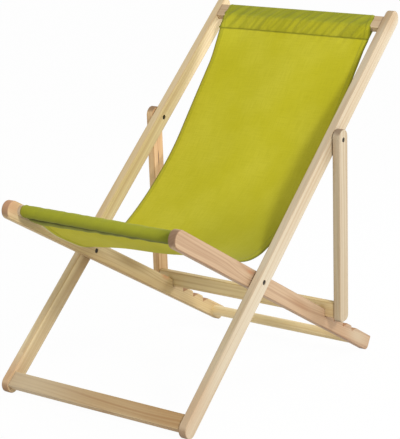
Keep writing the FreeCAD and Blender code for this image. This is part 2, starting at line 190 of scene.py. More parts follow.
# %% [markdown]
# ## The wood
# The rails are planed softwood: pale, with uneven growth lines, long pink and yellow streaks, fine
# fibres, and now and then a knot. The lines come from the tree's rings, so they are drawn as rings too,
# round a pith that lies somewhere outside the board: the noise runs over the distance from that pith.
# A board's faces then get stripes and its ends get arcs, as in the real thing, with no unwrapping.
# Each board has its own direction, pith and tint, and some have spots: a knot that bends the lines round
# itself, a thread of dark heartwood, or a brown patch. The two left rails also carry a painted shadow, a
# brown band where the sling and seat shade their inner faces, and painted shade darkens each bar's ends where
# they
# meet the rails and legs. Hands darken the rounded edges of the flat boards, which are found by their slant:
# there a face looks neither straight sideways nor straight up.

# %% Scales of the wood's patterns
# How often a pattern changes in a metre: across the grain, along it, and across it again.
wander_scale = (9.0, 1.6, 9.0)
ripple_scale = (60.0, 5.0, 60.0)
tone_scale = (16.0, 1.1, 16.0)
fibre_scale = (900.0, 14.0, 900.0)
streak_scale = (130.0, 2.4, 130.0)
# The same for the growth lines, which follow each other outwards from the pith.
late_scale = (170.0, 0.9, 1.0)
fine_scale = (560.0, 1.6, 1.0)
# How far slow and quick changes in growth push a line, in metres.
wander_reach = 0.030
ripple_reach = 0.0020
# How far off a knot still bends the lines, counted in knots.
bend_range = 4.0
# The length over which the tint of a notch, or the painted shade at a joint, fades in.
cut_blur = 0.004
print("growth lines: about", round(1000.0 / late_scale[0]), "mm apart")


# %% Growth lines, blemishes and painted shadows
def pith_distance(finish, laid, grain, pith):
    """How far a point is from the pith of its tree, with the unevenness of growth."""
    across, _, through = finish.split(laid)
    sideways = across - pith[0]
    upwards = through - pith[1]
    wander = finish.noise(grain, wander_scale) - 0.5
    ripple = finish.noise(grain, ripple_scale) - 0.5
    return (sideways * sideways + upwards * upwards).root() + wander * wander_reach + ripple * ripple_reach


def board_spot(place, reach, tint, depth, core=0.5, bend=0.0):
    """A coloured spot in a board: its middle, its half sizes, and how far it pushes the growth lines."""
    return {"place": place, "reach": reach, "tint": tint, "depth": depth, "core": core, "bend": bend}


def board_spot_distance(finish, laid, spot):
    """How far a point is from a spot's middle, with 1 at its edge."""
    offset = finish.vector("SUBTRACT", laid, spot["place"])
    return finish.vector("LENGTH", finish.vector("DIVIDE", offset, spot["reach"]), (0.0, 0.0, 0.0), 1)


# %% Write the wood's formula
def wood(name, turn, pith, tint, shift, board_spots=(), cut_from=None, joint_shade_at=None, edge_wear=0.4):
    """A planed board whose grain runs along Y once its place is turned."""
    finish = new_finish(name)
    laid = finish.node("ShaderNodeMapping", {}, {0: finish.place(), 2: turn})
    along = finish.split(laid)[1]
    grain = finish.vector("ADD", laid, (shift, 5.0 * shift, 3.0 * shift))
    radius = pith_distance(finish, laid, grain, pith)
    spots = [(spot, board_spot_distance(finish, laid, spot)) for spot in board_spots]
    for spot, away in spots:
        if spot["bend"]:
            radius = radius + away.step(bend_range, 0.0) * spot["bend"]
    rings = finish.node("ShaderNodeCombineXYZ", {}, {0: radius, 1: along, 2: shift})
    tone = finish.noise(grain, tone_scale, 3.0)
    late = finish.noise(rings, late_scale, 1.0).step(0.46, 0.68) * (tone * 0.8 + 0.3)
    fine = finish.noise(rings, fine_scale, 1.0).step(0.42, 0.74)
    fibre = finish.noise(grain, fibre_scale, 1.0)
    streak = finish.noise(grain, streak_scale, 2.0)
    body = finish.mix(tone.step(0.36, 0.66), tint["pale"], tint["warm"])
    body = finish.mix(late * 0.58, body, tint["line"])
    body = finish.mix(fine * 0.30, body, tint["line"])
    body = finish.mix(streak.step(0.56, 0.78) * 0.36, body, tint["line"])
    body = finish.mix((fibre - 0.5) * 0.5 + 0.12, body, tint["fibre"])
    facing = finish.node("ShaderNodeTexCoord", {}, {}, "Normal")
    faced = finish.node("ShaderNodeMapping", {"vector_type": "NORMAL"}, {0: facing, 2: turn})
    sideways, against, upwards = (part.size() for part in finish.split(faced))
    end_grain = against.step(0.30, 0.80)
    body = finish.mix(end_grain * 0.72, body, tint["end"])
    if edge_wear:
        edge = (sideways * upwards).step(0.14, 0.40)
        body = finish.mix(edge * edge_wear, body, tint["line"])
    if cut_from is not None:
        notch = against.step(0.30, 0.60) * along.step(cut_from - cut_blur, cut_from)
        body = finish.mix(notch * 0.8, body, tint["cut"])
    # Painted shade: the shadow gap where a bar's end meets a rail or a leg.
    if joint_shade_at is not None:
        joint_shade = along.size().step(joint_shade_at - cut_blur, joint_shade_at)
        body = finish.mix(joint_shade * 0.6, body, tint["end"])
    for spot, away in spots:
        body = finish.mix(away.step(1.0, spot["core"]) * spot["depth"], body, spot["tint"])
    return finish.finish(
        Base_Color=body,
        Roughness=0.48 + streak * 0.16 + end_grain * 0.14,
        Specular_IOR_Level=0.35,
        Normal=finish.bump(fibre * 0.5 + late * 0.35, 0.0004, 0.35),
    )


# %% [markdown]
# The back rails lean at 44 degrees, the seat rails fall at 26 degrees towards the rear, and the prop legs
# stand 6 degrees off upright. Turning a board's place by its own angle lays its grain along Y.
# Bars run across the chair, so theirs is turned by a quarter about Z.

# %% Directions and tints
back_lean = math.radians(44.16)
seat_lean = math.radians(25.77)
prop_lean = math.radians(6.26)
along_back = (-back_lean, 0.0, 0.0)
along_seat = (seat_lean, 0.0, 0.0)
along_prop = (math.pi / 2.0 - prop_lean, 0.0, 0.0)
along_bar = (0.0, 0.0, math.pi / 2.0)

pale_tint = {
    "pale": colour(205, 194, 171),
    "warm": colour(196, 180, 151),
    "line": colour(170, 138, 102),
    "fibre": colour(190, 164, 129),
    "end": colour(118, 90, 66),
    "cut": colour(160, 104, 56),
}


def tinted(pale, warm, line):
    """The pale tint with other main colours, for a board from another tree."""
    return dict(pale_tint, pale=colour(*pale), warm=colour(*warm), line=colour(*line))


pink_tint = tinted((192, 163, 131), (180, 146, 112), (134, 92, 64))
rosy_tint = tinted((226, 205, 168), (213, 186, 148), (158, 122, 86))
gold_tint = tinted((221, 201, 155), (208, 181, 131), (166, 128, 82))
cream_tint = tinted((230, 213, 174), (218, 196, 150), (184, 150, 104))
amber_tint = tinted((224, 190, 142), (212, 170, 118), (166, 106, 60))
brown_tint = tinted((213, 190, 146), (199, 169, 122), (150, 105, 62))
straw_tint = tinted((243, 226, 184), (234, 212, 166), (196, 160, 108))
grey_tint = tinted((194, 182, 158), (186, 169, 140), (156, 127, 94))
print("leans:", [round(math.degrees(lean), 2) for lean in (back_lean, seat_lean, prop_lean)])

# %% Place the blemishes and painted shadows
knot_tint = colour(120, 72, 38)
knot_reach = (0.006, 0.009, 0.005)
left_back_spots_and_shade = [
    board_spot((-0.25, -0.2464, 0.345), knot_reach, knot_tint, 0.8, bend=0.010),
    board_spot((-0.25, 0.9134, 0.3177), knot_reach, knot_tint, 0.7, bend=0.010),
    board_spot((-0.25, 0.075, 0.306), (0.03, 0.16, 0.030), colour(158, 116, 66), 0.55, core=0.0),
    board_spot((-0.26, -0.285, 0.335), (0.05, 0.11, 0.05), colour(190, 140, 100), 0.55, core=0.0),
    # Painted shadow: a brown band where the seat and sling shade the rail's inner face below the seat.
    board_spot((-0.25, -0.120, 0.310), (0.012, 0.32, 0.030), colour(150, 120, 78), 0.42, core=0.5),
]
right_back_blemishes = [
    board_spot((0.26, -0.27, 0.34), (0.05, 0.17, 0.05), colour(186, 152, 116), 0.6, core=0.0),
    board_spot((0.25, -0.056, 0.345), (0.006, 0.12, 0.004), colour(190, 132, 88), 0.5, core=0.0),
    board_spot((0.254, 0.905, 0.345), (0.010, 0.14, 0.030), colour(162, 128, 86), 0.6, core=0.0),
    board_spot((0.262, 0.940, 0.335), (0.05, 0.07, 0.05), colour(172, 142, 104), 0.6, core=0.0),
]
right_seat_blemishes = [
    board_spot(
        (0.2475, -0.298, 0.2246), (0.008, 0.030, 0.008), colour(182, 116, 74), 0.45, core=0.0, bend=0.012),
    board_spot((0.2475, -0.023, 0.214), (0.012, 0.11, 0.016), colour(150, 104, 64), 0.5, core=0.0, bend=0.008),
    board_spot((0.2475, 0.330, 0.212), (0.02, 0.10, 0.03), colour(196, 180, 152), 0.6, core=0.0),
]
left_seat_spots_and_shade = [
    # Painted shadow: a brown band where the sling shades the top of the rail's inner face.
    board_spot((-0.2275, -0.107, 0.224), (0.012, 0.13, 0.022), colour(152, 124, 76), 0.75, core=0.0),
    board_spot((-0.2375, -0.625, 0.222), (0.04, 0.06, 0.04), colour(196, 146, 110), 0.85, core=0.0),
    board_spot((-0.2275, 0.072, 0.235), (0.012, 0.032, 0.016), colour(200, 130, 82), 0.65, core=0.1, bend=0.006),
]
heart_blemishes = [board_spot((-0.2725, -0.4735, 0.236), (0.006, 0.026, 0.0026), colour(84, 52, 32), 0.8)]
foot_blemishes = [
    board_spot((0.414, -0.20, 0.045), (0.3, 0.24, 0.3), colour(222, 210, 180), 0.45, core=0.0),
    board_spot((0.414, 0.23, 0.045), (0.3, 0.15, 0.3), colour(158, 116, 64), 0.36, core=0.0, bend=0.016),
]

# %% Dress the boards
notch_from = 0.105
rail_inside = 0.250
leg_inside = 0.2725
boards = {
    "back_rail_right": wood(
        "wood_back_right", along_back, (0.33, 0.05), pale_tint, 0.11, right_back_blemishes),
    "back_rail_left": wood(
        "wood_back_left", along_back, (-0.20, -0.06), cream_tint, 0.53, left_back_spots_and_shade),
    "seat_rail_right": wood(
        "wood_seat_right", along_seat, (0.30, 0.10), pink_tint, 0.27, right_seat_blemishes, notch_from),
    "seat_rail_left": wood(
        "wood_seat_left", along_seat, (-0.18, 0.09), gold_tint, 0.71, left_seat_spots_and_shade, notch_from),
    "prop_leg_right": wood("wood_prop_right", along_prop, (0.36, 0.02), grey_tint, 0.91),
    "prop_leg_left": wood("wood_prop_left", along_prop, (-0.34, 0.06), amber_tint, 0.37, heart_blemishes),
    "top_bar": wood("wood_top_bar", along_bar, (-0.31, 0.82), rosy_tint, 0.19, joint_shade_at=rail_inside),
    "foot_stretcher": wood(
        "wood_foot_bar", along_bar, (0.50, -0.03), brown_tint, 0.43, foot_blemishes, joint_shade_at=rail_inside),
    "seat_front_bar": wood("wood_front_bar", along_bar, (0.42, 0.42), pale_tint, 0.65, edge_wear=0.0),
    "rear_stretcher": wood("wood_rear_bar", along_bar, (-0.40, 0.05), straw_tint, 0.83, edge_wear=0.0),
    "prop_crossbar": wood("wood_crossbar", along_bar, (-0.25, 0.10), gold_tint, 0.05, joint_shade_at=leg_inside),
}
dowel_wood = wood("wood_dowels", along_bar, (0.6, 0.3), pale_tint, 0.0, edge_wear=0.0)
for name in ("top_bar_dowels", "foot_stretcher_dowels", "prop_crossbar_dowels"):
    boards[name] = dowel_wood
for name, material in boards.items():
    nodes[name].material_slots[0].material = material
print("boards:", len(boards))

# %% [markdown]
# ## The pivots
# The screws and sleeve nuts are blackened steel, a little rubbed. The washers between the rails are plain
# moulded plastic, cream coloured with age, and hardly seen.


# %% Dress the pivots
def blackened_steel(name):
    finish = new_finish(name)
    place = finish.place()
    cloud = finish.noise(place, (260.0, 260.0, 260.0), 4.0)
    grit = finish.noise(place, (1800.0, 1800.0, 1800.0), 2.0)
    rub = (cloud * 0.7 + grit * 0.3).step(0.52, 0.68)
    return finish.finish(
        Base_Color=finish.mix(rub, colour(38, 34, 31), colour(92, 84, 76)),
        Metallic=rub * 0.5 + 0.4,
        Roughness=0.52 - rub * 0.16,
        Normal=finish.bump(grit, 0.0001, 0.3),
    )


def spacer_plastic(name):
    finish = new_finish(name)
    cloud = finish.noise(finish.place(), (120.0, 120.0, 120.0), 3.0)
    return finish.finish(
        Base_Color=finish.mix(cloud, colour(206, 192, 166), colour(188, 172, 142)),
        Roughness=0.5 + cloud * 0.15,
    )


steel = blackened_steel("blackened_steel")
plastic = spacer_plastic("spacer_plastic")
for pivot in ("main_pivot", "prop_pivot"):
    nodes[pivot + "_screws"].material_slots[0].material = steel
    nodes[pivot + "_sleeves"].material_slots[0].material = steel
    nodes[pivot + "_washers"].material_slots[0].material = plastic
print("pivots dressed:", steel.name, plastic.name)

# %% [markdown]
# ## The sling's path
# The sling is one strip of canvas. Seen from the side it starts at the seam under the top bar, goes up
# behind the bar, over it and down to the seam again, then runs down the back, sags under the seat,
# rises to the round front bar, rolls over it and is sewn to its own underside.
# A path of straight runs and bends holds that line, and gives the place for any length of cloth.

# %% Side places
main_pivot = Vector((-0.141597, 0.304188))


def on_back(station, rise):
    """A point beside the back rail, in the side plane."""
    return main_pivot + Matrix.Rotation(back_lean, 2) @ Vector((station, rise))


def on_seat(station, rise):
    """A point beside the seat rail, in the side plane."""
    return main_pivot + Matrix.Rotation(-seat_lean, 2) @ Vector((station, rise))


class ClothPath:
    """A line of cloth in the side plane, made of straight runs and bends."""

    def __init__(self, start):
        self.end = start
        self.length = 0.0
        self.steps = []
        self.marks = {}

    def mark(self, name):
        self.marks[name] = self.length

    def run_to(self, point):
        size = (point - self.end).length
        self.steps.append((self.length, size, self.end, point, None, 0.0))
        self.length += size
        self.end = point

    def bend(self, centre, sweep):
        arm = self.end - centre
        size = arm.length * abs(sweep)
        self.steps.append((self.length, size, self.end, None, centre, sweep))
        self.length += size
        self.end = centre + Matrix.Rotation(sweep, 2) @ arm

    def curve_to(self, control, point, count):
        """A soft curve that leaves towards control, as short runs."""
        start = self.end
        for number in range(1, count + 1):
            share = number / count
            self.run_to(start.lerp(control, share).lerp(control.lerp(point, share), share))

    def at(self, length):
        """The point at a length along the cloth, and the cloth's outward normal there."""
        begin, size, start, stop, centre, sweep = self.steps[-1]
        for step in self.steps:
            if length <= step[0] + step[1]:
                begin, size, start, stop, centre, sweep = step
                break
        share = (length - begin) / size
        if centre is None:
            forward = (stop - start).normalized()
            return start.lerp(stop, share), Vector((forward.y, -forward.x))
        arm = Matrix.Rotation(sweep * share, 2) @ (start - centre)
        outward = arm.normalized()
        return centre + arm, outward if sweep > 0.0 else -outward


def tangent(from_point, to_point, reach, turn):
    """The unit normal of the line through one point that keeps a reach from another."""
    across = to_point - from_point
    direction = math.atan2(across.y, across.x) + turn * math.acos(reach / across.length)
    return Vector((math.cos(direction), math.sin(direction)))


def turn_between(first, second):
    """The positive turn from one direction to another."""
    return (math.atan2(second.y, second.x) - math.atan2(first.y, first.x)) % (2.0 * math.pi)


# %% [markdown]
# The top bar is square, so the cloth turns it in two quarters and leans back to its seam. The back runs
# almost straight, curves gently, and then sags in a tighter bow. The front sleeve is loose: the cloth goes
# well round the bar, drops away from it and comes back to the seam from below, which leaves a crease that
# is darkened further with painted shade.

# %% Measure the path's corners
quarter = math.pi / 2.0
cloth_thickness = 0.0011
cloth_gap = 0.0011
seam_gap = 1.2 * cloth_thickness
top_low, top_high = 0.793, 0.827
top_rear, top_front = 0.004, 0.018
top_bend = 0.003 + cloth_gap
seam_station = 0.763
front_bar = on_seat(-0.329, 0.007)
front_roll = 0.013 + cloth_gap
front_seam_distance = 0.080
sag_radius = 0.205
sag_centre = main_pivot + Vector((0.0, 0.036 + sag_radius))
back_radius = 0.700
break_angle = math.radians(25.0)
loose_wrap = math.radians(38.0)
loose_drop = main_pivot + Vector((-0.270, 0.1215))

seam_rear = on_back(seam_station, top_rear - top_bend)
seam = on_back(seam_station, top_rear - top_bend + seam_gap)
sleeve_lean = tangent(seam, on_back(top_low, top_front), top_bend, -1.0)
back_up = Vector((-math.sin(back_lean), math.cos(back_lean)))

break_normal = Vector((-math.sin(break_angle), math.cos(break_angle)))
back_centre = sag_centre + break_normal * (back_radius - sag_radius)
back_normal = tangent(seam, back_centre, back_radius, -1.0)
back_meet = back_centre - back_normal * back_radius
seat_normal = tangent(front_bar, sag_centre, sag_radius, 1.0)
seat_meet = sag_centre - seat_normal * sag_radius
front_seam = front_bar + (seat_meet - front_bar).normalized() * front_seam_distance
over = tangent(front_seam, front_bar, front_roll, 1.0)
under = tangent(front_seam, front_bar, front_roll, -1.0)

# %% Lay the path
path = ClothPath(seam_rear)
path.run_to(on_back(top_high, top_rear - top_bend))
path.bend(on_back(top_high, top_rear), quarter)
path.run_to(on_back(top_high + top_bend, top_front))
path.bend(on_back(top_high, top_front), quarter)
path.mark("sleeve_front")
path.run_to(on_back(top_low, top_front + top_bend))
path.bend(on_back(top_low, top_front), turn_between(back_up, -sleeve_lean))
path.mark("sleeve_low")
path.run_to(seam)
path.mark("top_seam")
path.run_to(back_meet)
path.bend(back_centre, -turn_between(-break_normal, -back_normal))
path.bend(sag_centre, -turn_between(-seat_normal, -break_normal))
path.run_to(front_seam)
path.mark("front_seam")
path.run_to(front_bar - over * front_roll)
path.mark("front_roll")
path.bend(front_bar, turn_between(-over, -under) + loose_wrap)
path.mark("roll_end")
path.curve_to(loose_drop, front_seam - seat_normal * seam_gap, 12)
marks = path.marks
print("cloth:", round(path.length, 4), "m long", {name: round(at, 4) for name, at in marks.items()})

# %% [markdown]
# ## The cloth's hang and folds
# No sling hangs quite square. This one is longer on its left, where it hangs lower, and tighter on its
# right; at the top its left edge swells forwards. The folds are small heights above the path: slanted
# ridges where the canvas is pulled over the square bar, puckers below the seam, slow waves down the back,
# and slack under the front roll. Sine waves whose lengths don't fit each other make no two folds alike.

# %% Uneven hang
half_width = 0.222
hem_width = 0.013
# The whole seat hangs a little low, and each edge this much lower or higher than the middle.
seat_drop = 0.003
edge_skew = 0.019
# That begins and is full at two lengths below the top seam, and eases out before the front bar.
skew_begin, skew_full, skew_ease = 0.43, 0.90, 0.15
# The left edge swells forwards at the top: how far, over what width, and how far below the seam.
swell_depth, swell_width, swell_run = 0.015, 0.075, 0.115


def smooth(value, low, high):
    """0 at low and 1 at high, easing at both; low may be the larger one."""
    share = min(max((value - low) / (high - low), 0.0), 1.0)
    return share * share * (3.0 - 2.0 * share)


def hang(across, length):
    """How far the uneven cut moves the cloth forwards or back, and up or down."""
    bar_run = marks["front_roll"] - length
    if length > marks["front_roll"]:
        share = max(length - marks["roll_end"], 0.0) / (path.length - marks["roll_end"])
        bar_run = share * (marks["front_roll"] - marks["front_seam"])
    slide = smooth(length - marks["top_seam"], skew_begin, skew_full) * smooth(bar_run, 0.0, skew_ease)
    rise = (edge_skew * across / half_width - seat_drop) * slide
    if length > marks["top_seam"]:
        swell = smooth(length - marks["top_seam"], swell_run, 0.0)
    elif length > marks["sleeve_low"]:
        swell = (length - marks["sleeve_low"]) / (marks["top_seam"] - marks["sleeve_low"])
    else:
        swell = max(1.0 - length / (top_low - seam_station), 0.0)
    forwards = swell_depth * swell * smooth(across, swell_width - half_width, -half_width)
    return Vector((0.0, -forwards, rise))


# %% Waves and ridges
def waves(place, lengths):
    """An uneven wave between about -1 and 1."""
    total = 0.0
    for number, length in enumerate(lengths):
        total += math.sin(2.0 * math.pi * place / length + 1.7 * number) / (1.0 + 0.35 * number)
    return total / 1.9


def ridges(place, spacing):
    """Sharp ridges at uneven distances, from 0 to 1."""
    place += 0.3 * spacing * waves(place, (3.1 * spacing, 4.7 * spacing))
    return (1.0 - abs(math.sin(math.pi * place / spacing))) ** 1.7


# %% Sizes of the folds
# All are in metres but the slant, which is a share of the height above the seam.
ridge_height, ridge_spacing, ridge_slant = 0.0058, 0.028, 0.80
pucker_height, pucker_run = 0.0012, 0.022
wave_height, cross_wave_height = 0.0022, 0.0012
roll_wave_height, slack_height, slack_wave_height = 0.0005, 0.003, 0.0011
curl_depth = 0.0030
# The top sleeve is wider than the tight cloth below it, by this share.
sleeve_spread = 0.020


# %% Fold the cloth
def fold_height(across, length):
    """How far the cloth stands off its path, on its outer side."""
    right = across / half_width
    height = 0.0
    if marks["sleeve_front"] < length < marks["top_seam"]:
        above = marks["top_seam"] - length
        fade = smooth(length - marks["sleeve_front"], 0.0, 0.014) * smooth(above, 0.0, 0.010)
        strength = 0.65 + 0.35 * waves(across, (0.13, 0.19))
        height = ridge_height * ridges(across - ridge_slant * above, ridge_spacing) * strength * fade
    elif marks["top_seam"] <= length < marks["front_roll"]:
        below = length - marks["top_seam"]
        pucker = math.exp(-below / pucker_run) * smooth(below, 0.0, 0.004) * (0.7 + 0.3 * right)
        calm = smooth(below, 0.0, 0.12) * smooth(marks["front_roll"] - length, 0.0, 0.12)
        height = pucker_height * waves(across + 0.3 * below, (0.023, 0.034, 0.051)) * pucker
        height += wave_height * waves(across + 0.18 * below, (0.21, 0.34)) * calm
        height += cross_wave_height * waves(below - 0.4 * across, (0.26, 0.41)) * calm
    elif length >= marks["front_roll"]:
        rolled = length - marks["front_roll"]
        height = roll_wave_height * (1.0 + waves(across + 0.6 * rolled, (0.037, 0.061, 0.023)))
        share = (length - marks["roll_end"]) / (path.length - marks["roll_end"])
        if share > 0.0:
            slack = slack_height * (1.0 - right)
            slack += slack_wave_height * waves(across + 0.7 * rolled, (0.043, 0.067))
            height = height * (1.0 - share) + slack * math.sin(math.pi * share ** 0.6)
    inside = smooth(half_width - abs(across), 0.0, 0.03)
    curl = smooth(abs(across), half_width - hem_width, half_width)
    return height * (0.35 + 0.65 * inside) - curl_depth * curl * curl


def on_cloth(across, length, lift=0.0):
    """A point of the cloth, and its outward normal, at a distance across and a length along it."""
    point, normal = path.at(length)
    place = point + normal * (fold_height(across, length) + lift)
    spread = 1.0 + sleeve_spread * smooth(length, marks["top_seam"] + 0.04, marks["sleeve_low"])
    place = Vector((across * spread, place.x, place.y)) + hang(across, length)
    return place, Vector((0.0, normal.x, normal.y))


# %% [markdown]
# ## Sewing the sling
# A grid is the flat cut. Its rows are close together where the cloth bends over the bars and wider along
# the back and seat, and every point is then moved to its place on the path. A UV map keeps the flat
# cut, so that the weave follows the cloth. Solidify gives the canvas its thickness, and doubles it along
# the side hems through a vertex group.


# %% Rows and columns of the cut
def spaced(begin, end, pitch):
    """Places about a pitch apart, from begin up to end, which is left out."""
    count = max(1, round((end - begin) / pitch))
    return [begin + (end - begin) * number / count for number in range(count)]


rows = spaced(0.0, marks["sleeve_front"], 0.0030)
rows += spaced(marks["sleeve_front"], marks["top_seam"], 0.0026)
rows += spaced(marks["top_seam"], marks["top_seam"] + 0.06, 0.003)
rows += spaced(marks["top_seam"] + 0.06, marks["front_seam"], 0.0075)
rows += spaced(marks["front_seam"], marks["front_roll"], 0.004)
rows += spaced(marks["front_roll"], path.length, 0.0025)
rows.append(path.length)
hem_edge = half_width - hem_width
hem_stations = [hem_edge + 0.0012, hem_edge + 0.004, hem_edge + 0.008, half_width - 0.002, half_width]
stations = [-place for place in reversed(hem_stations)]
stations += spaced(-hem_edge, hem_edge, 0.0034) + [hem_edge] + hem_stations
print("cut:", len(stations), "columns", len(rows), "rows")

# %% Cut and hang the cloth
cloth = bmesh.new()
bmesh.ops.create_grid(cloth, x_segments=len(stations) - 1, y_segments=len(rows) - 1, size=1.0)
flat_map = cloth.loops.layers.uv.new("flat_cut")
cuts = {}
for vert in cloth.verts:
    column = round((vert.co.x + 1.0) / 2.0 * (len(stations) - 1))
    row = round((vert.co.y + 1.0) / 2.0 * (len(rows) - 1))
    cuts[vert] = (stations[column], rows[row])
for face in cloth.faces:
    face.smooth = True
    for loop in face.loops:
        loop[flat_map].uv = cuts[loop.vert]
for vert, cut in cuts.items():
    vert.co = on_cloth(*cut)[0]
bmesh.ops.recalc_face_normals(cloth, faces=cloth.faces)
cloth.verts.index_update()
hem_verts = [vert.index for vert, cut in cuts.items() if abs(cut[0]) > hem_edge + 0.0005]
sling_mesh = bpy.data.meshes.new("sling_cloth")
cloth.to_mesh(sling_mesh)
cloth.free()
sling = bpy.data.objects.new("sling_cloth", sling_mesh)
bpy.context.scene.collection.objects.link(sling)
hems = sling.vertex_groups.new(name="hems")
hems.add(hem_verts, 1.0, "REPLACE")
thick = sling.modifiers.new("canvas", "SOLIDIFY")
thick.thickness = 2.0 * cloth_thickness
thick.offset = 0.0
thick.vertex_group = hems.name
thick.thickness_vertex_group = 0.5
print("sling:", len(sling_mesh.polygons), "faces")

# %% [markdown]
# ## Stitches
# Each hem and seam is held by a row of stitches, three millimetres long. A stitch is a small stretched
# ball of few faces, laid along its row on the cloth's surface. All of them are one piece.


# %% Stitches in small batches
stitch_half_sizes = (0.0015, 0.00032, 0.00026)
stitch_sides, stitch_rings = 6, 4


def sew(row, across, length, run, lift):
    """One stitch on the cloth, lying along run = (across, along)."""
    place, normal = on_cloth(across, length, lift)
    ahead = on_cloth(across + 0.001 * run[0], length + 0.001 * run[1], lift)[0]
    forward = (ahead - place).normalized()
    side = normal.cross(forward).normalized()
    turn = Matrix((forward, side, forward.cross(side))).transposed().to_4x4()
    stretch = Matrix.Diagonal((*stitch_half_sizes, 1.0))
    lay = Matrix.Translation(place) @ turn @ stretch
    bmesh.ops.create_uvsphere(row, u_segments=stitch_sides, v_segments=stitch_rings, radius=1.0, matrix=lay)


def sew_row(thread, spots, run, lift, batch=40):
    """A row of stitches, sewn in small batches because a bmesh grows slow with its size."""
    for begin in range(0, len(spots), batch):
        row = bmesh.new()
        for across, length in spots[begin:begin + batch]:
            sew(row, across, length, run, lift)
        sewn = bpy.data.meshes.new("sewn_batch")
        row.to_mesh(sewn)
        row.free()
        thread.from_mesh(sewn)
        bpy.data.meshes.remove(sewn)


# %% Sew the rows
stitch_pitch = 0.0037
seam_inset = 0.004
hem_row = half_width - 0.009
plain_lift = 0.5 * cloth_thickness
hem_lift = cloth_thickness
thread = bmesh.new()
outer = spaced(seam_inset, path.length - seam_inset, stitch_pitch)
inner = spaced(marks["top_seam"], marks["front_seam"], stitch_pitch)
for side in (-hem_row, hem_row):
    sew_row(thread, [(side, length) for length in outer], (0.0, 1.0), hem_lift)
    sew_row(thread, [(side, length) for length in inner], (0.0, 1.0), -hem_lift)
top_rows = (seam_inset, marks["top_seam"] - seam_inset)
front_rows = (marks["front_seam"] + seam_inset, path.length - seam_inset)
for length in top_rows + front_rows:
    spots = [(across, length) for across in spaced(-hem_edge, hem_edge, stitch_pitch)]
    sew_row(thread, spots, (1.0, 0.0), plain_lift)
for face in thread.faces:
    face.smooth = True
stitch_mesh = bpy.data.meshes.new("sling_stitches")
thread.to_mesh(stitch_mesh)
thread.free()
stitches = bpy.data.objects.new("sling_stitches", stitch_mesh)
bpy.context.scene.collection.objects.link(stitches)
print("stitches:", len(stitch_mesh.polygons) // (stitch_sides * stitch_rings))

# %% [markdown]
# ## Canvas and thread
# The canvas is a plain weave of olive-lime yarn, matt, with slubs that run both ways. Where it lies double,
# in the sleeves and hems, it looks deeper and greener, and a seam shows as a thin dark line. Shade is painted
# into its colour: over the top bar, in slanted bands across the top sleeve, along both edges, on the right of
# the seat and in the right rail's shadow beside it. The front roll is deeper in colour, with painted shade at
# its right end, under it and darkest in its crease, and a painted highlight runs along the seat's left edge.
# The formula reads the flat cut, so the yarns turn with the cloth over the bars.


# %% Zones of the cloth
def band(value, middle, far, near):
    """1 within near of a middle value, and 0 beyond far."""
    return (value - middle).size().step(far, near)


def sewn_zones(across, along):
    """Masks: doubled cloth with painted shade over the bar, and seam and hem lines with painted edge shade.
    """
    top, front = marks["top_seam"], marks["front_seam"]
    sleeve = along.step(top + 0.001, top - 0.001)
    # Painted shade: the sleeve is darker where it lies over the top bar.
    bar_shade = along.step(marks["sleeve_low"] + 0.006, marks["sleeve_low"] - 0.010)
    tunnel = along.step(front - 0.001, front + 0.001)
    hem = across.size().step(hem_edge - 0.001, hem_edge + 0.001)
    double_and_shade = (sleeve * 0.22 + bar_shade * 0.52).larger(tunnel * 0.52).larger(hem * 0.20)
    seams = band(along, top, 0.0035, 0.0010).larger(band(along, front, 0.0035, 0.0010))
    hem_line = band(across.size(), hem_edge, 0.0022, 0.0006)
    # Painted shade along both folded edges.
    edge_shade = across.size().step(half_width - 0.0060, half_width - 0.0015)
    return sleeve, double_and_shade, seams.larger(hem_line * 0.35).larger(edge_shade)


def painted_shade_zone(across, along):
    """A mask for painted shade: the right of the seat, and the right rail's shadow on the cloth beside it."""
    top, front = marks["top_seam"], marks["front_seam"]
    seat = along.step(top + 0.40, top + 0.72) * along.step(front - 0.05, front - 0.22)
    low_back = along.step(top + 0.12, top + 0.38)
    return seat * across.step(-0.12, 0.06) * 0.32 + low_back * across.step(0.10, 0.215) * 0.26


def roll_zones(across, along):
    """Masks: roll, painted shadow at its end, painted shade under it and in its crease, painted seat-edge
    highlight.
    """
    begin, end = marks["front_roll"], marks["roll_end"]
    roll = along.step(begin - 0.012, begin + 0.006)
    # Painted shadow where the rail shades the roll's right end.
    right_end_shadow = roll * across.step(half_width - 0.060, half_width - 0.004)
    # Painted shade under the roll, a little stronger to the right.
    under = along.step(begin + 0.020, end) * along.step(path.length - 0.02, end)
    under = under * (across.step(-0.15, 0.18) * 0.24 + 0.62)
    # Painted shade in the crease below the roll.
    crease_shade = band(along, end, 0.013, 0.003)
    seat_front = along.step(marks["top_seam"] + 0.78, marks["top_seam"] + 0.84)
    # A painted highlight along the seat's left edge near the roll.
    edge_highlight = across.step(0.0055 - half_width, 0.0015 - half_width) * (seat_front - roll)
    return roll, right_end_shadow, under, crease_shade, edge_highlight


# %% Weave the canvas
yarn_pitch = 0.0011
slub_scale = (420.0, 22.0, 1.0)
cross_slub_scale = (22.0, 420.0, 1.0)
cloud_scale = (7.0, 5.0, 1.0)
fold_shade_scale = (62.0, 9.0, 1.0)


